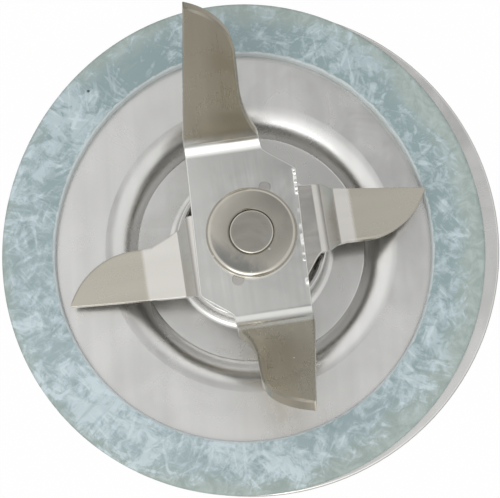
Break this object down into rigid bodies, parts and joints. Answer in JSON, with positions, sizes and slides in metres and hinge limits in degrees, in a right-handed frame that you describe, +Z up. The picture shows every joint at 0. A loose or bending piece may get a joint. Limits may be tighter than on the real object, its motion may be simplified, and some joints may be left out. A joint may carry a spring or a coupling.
{
  "type": "blender blade assembly",
  "caption": "Blender blade assembly: crossed bent blades on a spindle that turns in a bearing housing under a pressed round base plate with a rubber sealing ring.",
  "frame": {"origin": "centre of the drive socket's mouth, on the spindle axis, at the foot of the assembly", "axes": "+Z up the spindle axis from the drive socket to the blades; +Y towards the raised arm that is at the top of the picture; +X towards the lower arm that is at its right"},
  "size_m": [0.0612, 0.0608, 0.059],
  "materials": {
    "plate_steel": "pressed stainless sheet, satin",
    "blade_steel": "hard stainless sheet, smooth with fine grinding lines",
    "turned_steel": "turned steel with tool rings",
    "housing_steel": "turned and plated steel",
    "sintered_bronze": "oil-soaked sintered bronze",
    "seal_rubber": "black moulded nitrile rubber",
    "gasket_rubber": "grey-green moulded rubber with chalky bloom",
    "wick_felt": "pressed felt",
    "washer_fibre": "red-brown vulcanised fibre"
  },
  "bodies": {
    "base": {"base_plate": "plate_steel", "sealing_ring": "gasket_rubber", "bearing_housing": "housing_steel", "lower_bush": "sintered_bronze", "oil_wick": "wick_felt", "upper_bush": "sintered_bronze", "shaft_seal": "seal_rubber", "seal_spring": "turned_steel", "seal_cap": "turned_steel"},
    "rotor": {"drive_coupling": "turned_steel", "coupling_pin": "turned_steel", "spindle": "turned_steel", "lower_steel_washer": "turned_steel", "lower_fibre_washer": "washer_fibre", "upper_fibre_washer": "washer_fibre", "upper_steel_washer": "turned_steel", "blade_spacer": "turned_steel", "lower_blade": "blade_steel", "upper_blade": "blade_steel", "hub_collar": "turned_steel"}
  },
  "joints": [
    {"name": "spindle_spin", "type": "hinge", "parent": "base", "child": "rotor", "pos_m": [0, 0, 0.0322], "axis": [0, 0, 1], "continuous": true}
  ]
}
